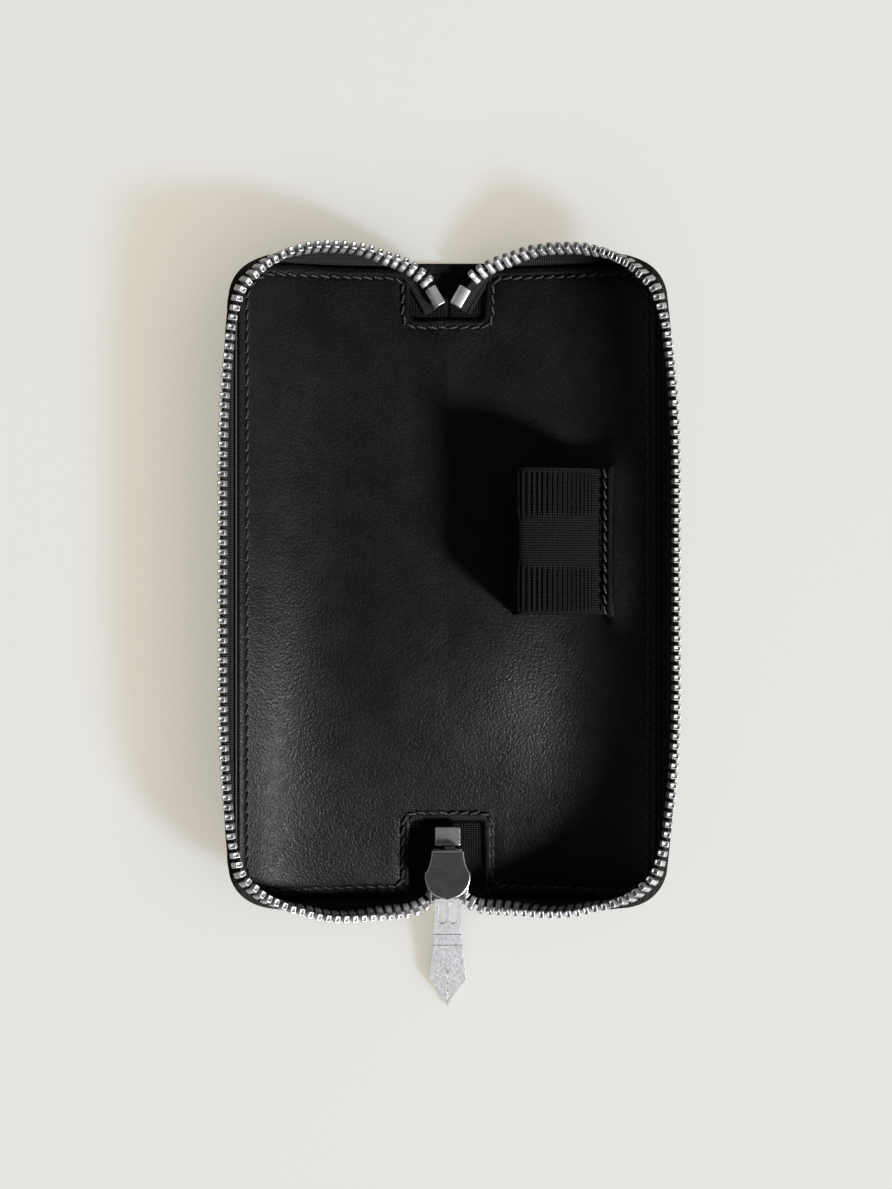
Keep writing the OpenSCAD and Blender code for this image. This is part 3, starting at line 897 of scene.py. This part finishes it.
def zip_teeth(side):
    """The row of metal teeth, from the slider round to the top stop."""
    sign = SIDES[side]
    rings = tooth_points()
    n_rings, around = rings.shape[:2]
    flat = rings.reshape(-1, 3)
    line = zip_lines[side]
    runs = np.arange(BOTTOM_TEETH_START, line.run[-1] - TOP_TEETH_END, TOOTH_PITCH)
    verts, faces = [], []
    wobble = np.random.default_rng(7)
    for run in runs:
        _, bead, out, ahead, tilt = line.at(run)
        out = out - ahead * (out @ ahead)
        out /= np.linalg.norm(out)
        up = np.cross(out, ahead)
        tilt += wobble.normal(0, 0.03)
        stand = out * math.cos(tilt) + up * math.sin(tilt)
        above = up * math.cos(tilt) - out * math.sin(tilt)
        faces += tube_faces(n_rings, around, len(verts) * len(flat))
        verts.append(bead + flat @ np.array([stand, ahead, above]))
    points = mirror_points(np.concatenate(verts), sign)
    piece = outward(mesh_object(f"zip_teeth_{side}", points, faces, points[:, :2]))
    paint(piece, "teeth")
    over_fold(piece)
    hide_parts(f"{side}_zip_teeth")
    if side == "left":
        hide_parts("top_end_teeth")
    return piece


# ---------------- hard pieces

def extruded(name, outline, low, high, axis="z"):
    """A prism of an outline. axis z stands it up; axis y lays it along y."""
    n = len(outline)
    p = np.array(outline, float)
    if axis == "z":
        verts = np.concatenate([np.column_stack([p, np.full(n, z)]) for z in (low, high)])
    else:
        verts = np.concatenate([np.column_stack([p[:, 0], np.full(n, low), p[:, 1]]),
                                np.column_stack([p[:, 0], np.full(n, high), p[:, 1]])])
    return outward(mesh_object(name, verts, tube_faces(2, n)))


def settle(piece, angle_z=0.0, angle_x=0.0, at=(0, 0, 0)):
    """Turns a piece about x, then z, and moves it, in its mesh."""
    cx, sx = math.cos(angle_x), math.sin(angle_x)
    cz, sz = math.cos(angle_z), math.sin(angle_z)
    about_x = np.array([[1, 0, 0], [0, cx, -sx], [0, sx, cx]])
    turn = np.array([[cz, -sz, 0], [sz, cz, 0], [0, 0, 1]]) @ about_x
    co = np.zeros(len(piece.data.vertices) * 3)
    piece.data.vertices.foreach_get("co", co)
    co = co.reshape(-1, 3) @ turn.T + np.array(at) * MM
    piece.data.vertices.foreach_set("co", co.ravel())
    piece.data.update()
    return piece


def top_stop(side):
    """A clamp folded out of strip: two faces that meet in a ridge."""
    sign = SIDES[side]
    node = f"top_stop_{side}"
    lo, hi = node_box(node)
    centre = (lo + hi) / 2
    outline = [(-1.4, 0), (-1.5, 0.4), (-1.5, 1.6), (-0.55, 2.5), (-0.4, 2.55), (1.3, 2.2), (1.5, 1.9),
               (1.5, 0.4), (1.4, 0)]
    if side == "right":
        outline = [(x + 0.1 if x > 0 else x, z) for x, z in outline]
    piece = bevel(extruded(node + "_clamp", outline, -2.45, 2.45, "y"), 0.16, 2)
    settle(piece, -sign * math.radians(30), 0, (centre[0], centre[1], lo[2]))
    paint(piece, "stops")
    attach(piece, "spine")
    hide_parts(node)


def bottom_stop():
    lo, hi = node_box("bottom_stop")
    x, y = hi[0], (hi[1] - lo[1]) / 2
    mid = (hi[1] + lo[1]) / 2
    piece = extruded("bottom_stop_clamp", rectangle(-x, mid - y, x, mid + y), lo[2], hi[2])
    bevel(piece, 0.3, 3)
    # Darker flat top and brighter rim: a painted dark reflection and a painted highlight.
    paint_faces(piece, "stop_top_painted_reflection", "rim_painted_highlight")
    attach(piece, "spine")
    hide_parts("bottom_stop")


# The bottom stop's flat top, darker than the other stops' metal: a painted dark reflection.
LOOKS["stop_top_painted_reflection"] = metal("stop_top_painted_reflection", (0.31, 0.31, 0.315), (0.25, 0.25, 0.255), 0.4)


def paint_faces(piece, flat_look, rim_look):
    """A flat top in one material and everything round it in another; the rim's brighter metal is a painted
    highlight.
    """
    piece.data.materials.clear()
    piece.data.materials.append(LOOKS[flat_look])
    piece.data.materials.append(LOOKS[rim_look])
    top = max(p.center.z for p in piece.data.polygons)
    for polygon in piece.data.polygons:
        polygon.material_index = 0 if polygon.normal.z > 0.995 and polygon.center.z > top - 1e-5 else 1


def cap_outline(inset=0.0):
    """The shield that covers the slider: narrow towards the stop, with hollow flanks and a round end."""
    lo, hi = node_box("slider_cap")
    r = hi[0] - inset
    centre_y = lo[1] + hi[0]
    narrow = 3.95 - inset
    controls = [(narrow, hi[1] - inset), (narrow + 0.25, hi[1] - 3.6), (narrow + 1.3, hi[1] - 5.4),
                (r, centre_y + 0.9)]
    flank = bezier([np.array(p) for p in controls], np.linspace(0, 1, 9))
    swing = np.radians(np.arange(8, -91, -7))
    half = np.concatenate([flank[:-1], np.column_stack([r * np.cos(swing), centre_y + r * np.sin(swing)])])
    return np.concatenate([half, (half * (-1, 1))[::-1]])


def slider_cap():
    lo, hi = node_box("slider_cap")
    piece = extruded("slider_cap_shield", cap_outline(), lo[2], hi[2])
    bevel(piece, 0.38, 3)
    # The rim round the dark top is brighter metal: a painted highlight.
    paint_faces(piece, "cap", "rim_painted_highlight")
    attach(piece, "slider")
    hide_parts("slider_cap")


def slider_body():
    """Two plates, the post between them and the flanges that hold the tapes in."""
    lo, hi = node_box("slider_body")
    wide, end = hi[0], node_box("slider_cap")[0][1]
    narrow, start = 3.7, hi[1]
    flank = [(narrow, start), (wide, end + 3.4), (wide - 0.5, end + 1.2), (wide - 1.7, end)]
    plan = flank + [(-x, y) for x, y in flank[::-1]]
    plate_t = 1.0
    channel = 2.7
    upper = lo[2] + plate_t + channel
    blocks = [extruded("slider_lower", plan, lo[2], lo[2] + plate_t),
              extruded("slider_upper", plan, upper, upper + plate_t)]
    post = [(0, end + 5.2), (-1.2, end + 3.2), (-1.2, end + 0.4), (1.2, end + 0.4), (1.2, end + 3.2)]
    blocks.append(extruded("slider_post", post, lo[2] + plate_t, upper))
    for s in (-1, 1):
        flange = [(s * narrow, start - 0.9), (s * wide, end + 3.5), (s * (wide - 0.7), end + 3.5),
                  (s * (narrow - 0.7), start - 0.9)]
        blocks.append(extruded("slider_flange", flange, upper - 0.8, upper))
        blocks.append(extruded("slider_flange", flange, lo[2] + plate_t, lo[2] + plate_t + 0.8))
        ear = [(s * 3.85, pin_y + 2.4), (s * 4.55, pin_y + 2.4), (s * 4.55, pin_y - 0.75),
               (s * 3.85, pin_y - 0.75)]
        blocks.append(extruded("slider_ear", ear, upper + 0.2, pin_z + 0.6))
    for block in blocks:
        bevel(block, 0.2, 2)
    piece = joined("slider_plates", blocks)
    paint(piece, "slider")
    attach(piece, "slider")
    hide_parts("slider_body")


def joined(name, pieces):
    """One object of several, which are removed."""
    bm = bmesh.new()
    for piece in pieces:
        bm.from_mesh(piece.data)
        bpy.data.objects.remove(piece)
    mesh = bpy.data.meshes.new(name)
    bm.to_mesh(mesh)
    bm.free()
    result = bpy.data.objects.new(name, mesh)
    bpy.context.scene.collection.objects.link(result)
    return result


PULL_SLOPE = math.radians(14.5)
PULL_T = 1.0


def pull_outline():
    """Half outline of the pull, from the pin at the origin to the nib's tip, along -y."""
    length = 26.9
    shoulder = length - 7.6
    half = [(2.6, 0.75), (3.1, 0.6), (3.25, 0.2), (3.25, -7.4), (3.5, -10.2)]
    half += [(lerp(3.55, 4.5, t ** 1.6), lerp(-11.0, -shoulder, t)) for t in np.linspace(0, 1, 8)]
    nib = bezier([np.array(p) for p in ((4.5, -shoulder), (4.35, -shoulder - 2.0), (1.1, -shoulder - 4.2),
                                        (0.28, -length))], np.linspace(0, 1, 12))
    half += [tuple(p) for p in nib[1:]]
    return half, length


def ring_outline(x, y, r, long, n=14):
    """An oblong hole of radius r whose middle line runs long towards +y from (x, y)."""
    low = [(x + r * math.cos(a), y + r * math.sin(a)) for a in np.linspace(math.pi, 2 * math.pi, n)]
    high = [(x + r * math.cos(a), y + long + r * math.sin(a)) for a in np.linspace(0, math.pi, n)]
    return low + high


def cut(piece, cutter):
    """Takes the cutter out of the piece and deletes it."""
    modifier = piece.modifiers.new("cut", "BOOLEAN")
    modifier.operation = "DIFFERENCE"
    modifier.solver = "EXACT"
    modifier.object = cutter
    apply_modifiers(piece)
    bpy.data.objects.remove(cutter)


def pull_tab():
    """The pull: a flat nib with two windows, two grooves, a breather hole and a slit."""
    half, length = pull_outline()
    outline = half + [(-x, y) for x, y in half[::-1]]
    piece = extruded("pull_nib", outline, -PULL_T / 2, PULL_T / 2)
    for s in (-1, 1):
        cut(piece, extruded("window", ring_outline(s * 1.35, -4.85, 0.86, 4.1), -2, 2))
    cut(piece, extruded("breather", ring_outline(0, -17.9, 0.5, 0.01), -2, 2))
    cut(piece, extruded("slit", rectangle(-0.07, -length - 1, 0.07, -17.9), PULL_T / 2 - 0.25, 2))
    for y in (-8.3, -11.1):
        cut(piece, extruded("groove", rectangle(-6, y - 0.16, 6, y + 0.16), PULL_T / 2 - 0.2, 2))
    bevel(piece, 0.1, 2, 30)
    settle(piece, 0, PULL_SLOPE, (0, pin_y, pin_z))
    paint(piece, "pull")
    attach(piece, "puller")
    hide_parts("pull_tab")


# ---------------- pen loop

LOOP_T = 1.0
RIB_PITCH = 1.22


def loop_path():
    """Middle line of the elastic in x and z, from its left foot over the pen to its sewn end."""
    lo, hi = node_box("pen_loop")
    foot_x, end_x = lo[0] + 0.62, hi[0] - 0.9
    top = hi[2] - 0.75
    foot = np.array([foot_x, float(on_layer(foot_x, 0, layers_t / 2)[2]) - 0.2])
    end = np.array([end_x, float(on_layer(end_x, 0, layers_t / 2)[2]) - 0.2])
    crown = np.array([foot_x + 6.0, top])
    first = bezier([foot, foot + (-1.0, 18), crown + (-7.6, 0.4), crown], np.linspace(0, 1, 80))
    second = bezier([crown, crown + (7, -0.3), end + (-2.5, 6.0), end], np.linspace(0, 1, 80))
    return even_points(np.concatenate([first, second[1:]]), 0.1)


def pen_loop():
    """Woven elastic: ribbed along both borders, plain in the middle, with a thin selvedge."""
    lo, hi = node_box("pen_loop")
    line = loop_path()
    way = np.gradient(line, axis=0)
    way /= np.linalg.norm(way, axis=1)[:, None]
    normal = np.column_stack([-way[:, 1], way[:, 0]])
    run = np.arange(len(line)) * 0.1
    length = hi[1] - lo[1]
    v = np.unique(np.concatenate([[0, 0.15, 0.35, 0.6, 0.9, 1.2], np.linspace(1.5, length - 1.5, 44),
                                  length - np.array([0, 0.15, 0.35, 0.6, 0.9, 1.2])]))
    edge = np.minimum(v, length - v)
    third = length / 3
    in_ribs = smooth((np.abs(v - length / 2) - third / 2) / 0.7) * smooth((edge - 0.9) / 0.5)
    rib = (0.5 + 0.5 * np.cos(2 * math.pi * run / RIB_PITCH)) ** 0.5
    sag = 0.25 * np.sin(np.pi * v / length) * 0.5
    half = LOOP_T / 2 * rounded_lift(edge + 0.02, 0.45)
    outer = half[None, :] + 0.6 * in_ribs[None, :] * (rib[:, None] - 0.6)
    inner = -half[None, :] - 0.12 * in_ribs[None, :] * rib[:, None]
    sheets = []
    for offset in (outer, inner):
        bend = offset - sag[None, :]
        px = line[:, :1] + normal[:, :1] * bend
        pz = line[:, 1:] + normal[:, 1:] * bend
        sheets.append(np.stack([px, np.broadcast_to(lo[1] + v, px.shape), pz], -1))
    uv = np.stack(np.meshgrid(run, v, indexing="ij"), -1)
    piece = skin_object("pen_loop_elastic", *sheets, uv)
    paint(piece, "elastic")
    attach(piece, "right_side")
    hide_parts("pen_loop")


def loop_welt():
    """The lip of leather over the elastic's sewn end: raised at the loop, thinning outward."""
    lo, hi = node_box("loop_welt")
    across = np.array([0, 0.08, 0.2, 0.4, 0.8, 1.2, 1.6, 1.85, 2.1, 2.4, 2.7])
    lift = np.array([0.05, 0.75, 1.05, 1.2, 1.18, 1.02, 0.74, 0.56, 0.4, 0.18, 0.0])
    near = EDGE_STEPS[:6]
    y = np.unique(np.concatenate([np.linspace(lo[1], hi[1], 60), lo[1] + near, hi[1] - near]))
    ends = rounded_lift(np.minimum(y - lo[1], hi[1] - y), 0.7)
    x0 = lo[0] - 0.2
    gx, gy = np.meshgrid(x0 + across, y, indexing="ij")
    high = on_layer(gx, gy, layers_t / 2 + 0.1 + loop_ridge(gx, gy) + lift[:, None] * ends[None, :])
    low = on_layer(gx, gy, layers_t / 2 - 0.3)
    piece = skin_object("loop_welt_lip", high, low, np.stack([along_at(gx), gy], -1))
    paint(piece, "lining_leather")
    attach(piece, "right_side")
    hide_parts("loop_welt")


def loop_stitches():
    """The seams that hold the loop: one along the welt and one at the left foot."""
    lo, hi = node_box("loop_welt")
    welt = even_points(np.array([(lo[0] + 0.9, lo[1] + 0.6), (lo[0] + 0.9, hi[1] - 0.6)]), 0.5)
    stitches("welt_stitches", welt, "right", layers_t / 2 + 3.7, 1, 0.3)
    foot_lo, _ = node_box("pen_loop")
    foot_x = foot_lo[0] + 2.2
    foot = even_points(np.array([(foot_x, lo[1] + 1.0), (foot_x, hi[1] - 1.0)]), 0.5)
    stitches("foot_stitches", foot, "right", layers_t / 2 + 0.05, 1)


# ---------------- the rest

def tape_tails():
    """The flat ends of the tapes: either side of the slider, and under the top stops."""
    spans = {"top": (notch_top + 0.5, notch_top + 11.0), "bottom": (-half_l + 1.6, notch_bottom - 0.5)}
    for end, (y0, y1) in spans.items():
        for side, sign in SIDES.items():
            gx, gy = np.meshgrid(np.linspace(0.5, notch_x + 2.4, 30), np.linspace(y0, y1, 60),
                                 indexing="ij")
            top = cover_t + 0.35 + 0.15 * np.sin(gx * 0.35) * np.cos(gy * 0.3)
            low = cover_t + 0.02 + 0 * gx
            sheets = [mirror_points(np.stack([gx, gy, z], -1), sign) for z in (top, low)]
            piece = skin_object(f"tape_tail_{end}_{side}", *sheets, np.stack([gx, gy], -1))
            # The tails take the near-black copy of the tape: painted shade.
            paint(piece, "zip_tape", "tape_tail")
            over_fold(piece)
            if side == "left":
                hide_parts(f"tape_tails_{end}")


def joined_teeth():
    """The teeth that stay meshed between the slider and the bottom stop."""
    blocks = []
    for i in range(4):
        y = -64.9 - TOOTH_PITCH * 0.62 * i
        x0 = -1.7 if i % 2 else -0.75
        blocks.append(bevel(extruded("tooth", rectangle(x0, y - 0.5, x0 + 2.5, y + 0.5), 3.6, 5.3), 0.22, 2))
    piece = joined("joined_teeth", blocks)
    paint(piece, "teeth")
    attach(piece, "spine")
    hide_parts("bottom_end_teeth")


def finish_cad_nodes():
    """Materials for the CAD nodes that stay."""
    looks = {"spine_stiffener": "board", "left_stiffener": "board", "right_stiffener": "board",
             "lock_spring": "spring", "pull_pin": "pull"}
    for node, look in looks.items():
        frame["nodes"][node].data.materials.clear()
        frame["nodes"][node].data.materials.append(LOOKS[look])


# ---------------- floor, light

LAMP_FROM = (0.77, -0.64)
LAMP_HEIGHT = 36.0
LAMP_DISTANCE = 3.0
LAMP_SIZE = 0.6
LAMP_POWER = 230.0
SKY_LOW = 0.42
SKY_HIGH = 0.14


def add_floor():
    half = 1500
    piece = mesh_object("floor", [(-half, -half, -0.02), (half, -half, -0.02), (half, half, -0.02),
                                  (-half, half, -0.02)], [(0, 1, 2, 3)])
    piece.data.materials.append(floor_material())


def add_light():
    """One lamp from the lower right; the sky is dark overhead and bright near the horizon."""
    data = bpy.data.lights.new("key", "AREA")
    data.shape = "DISK"
    data.size = LAMP_SIZE
    data.energy = LAMP_POWER
    data.color = (0.96, 0.98, 1.0)
    key = bpy.data.objects.new("key", data)
    height = math.radians(LAMP_HEIGHT)
    flat = Vector(LAMP_FROM).normalized() * math.cos(height)
    way = Vector((flat.x, flat.y, math.sin(height)))
    key.location = way * LAMP_DISTANCE
    key.rotation_euler = way.to_track_quat("Z", "Y").to_euler()
    bpy.context.scene.collection.objects.link(key)
    world = bpy.data.worlds.new("world")
    world.use_nodes = True
    tree = world.node_tree
    sky = tree.nodes["Background"]
    place = add_node(tree, "ShaderNodeTexCoord").outputs["Generated"]
    way_up = add_node(tree, "ShaderNodeSeparateXYZ", {0: place})
    sky.inputs["Color"].default_value = (1.0, 0.95, 0.86, 1)
    tree.links.new(ramp(tree, way_up.outputs[2], 0.2, 0.42, SKY_LOW, SKY_HIGH), sky.inputs["Strength"])
    bpy.context.scene.world = world
    bpy.context.scene.view_settings.view_transform = "Standard"


# ---------------- build

add_camera()
add_floor()
add_light()

skin, seam = outer_leather(), seam_line()
for side in SIDES:
    bodies = ("left", "spine") if side == "left" else ("right",)
    place_half(skin, side, "outer_leather", [f"{body}_cover" for body in bodies])
    place_half(lining(side), side, "lining_leather", [f"{body}_lining" for body in bodies])
    stitches("seam_stitches", seam, side, layers_t / 2, 1)
    stitches("outer_stitches", seam, side, 0.3 - layers_t / 2, -1)
    zip_tape(side)
    zip_teeth(side)
    top_stop(side)
bottom_stop()
slider_body()
slider_cap()
pull_tab()
pen_loop()
loop_welt()
loop_stitches()
tape_tails()
joined_teeth()
finish_cad_nodes()
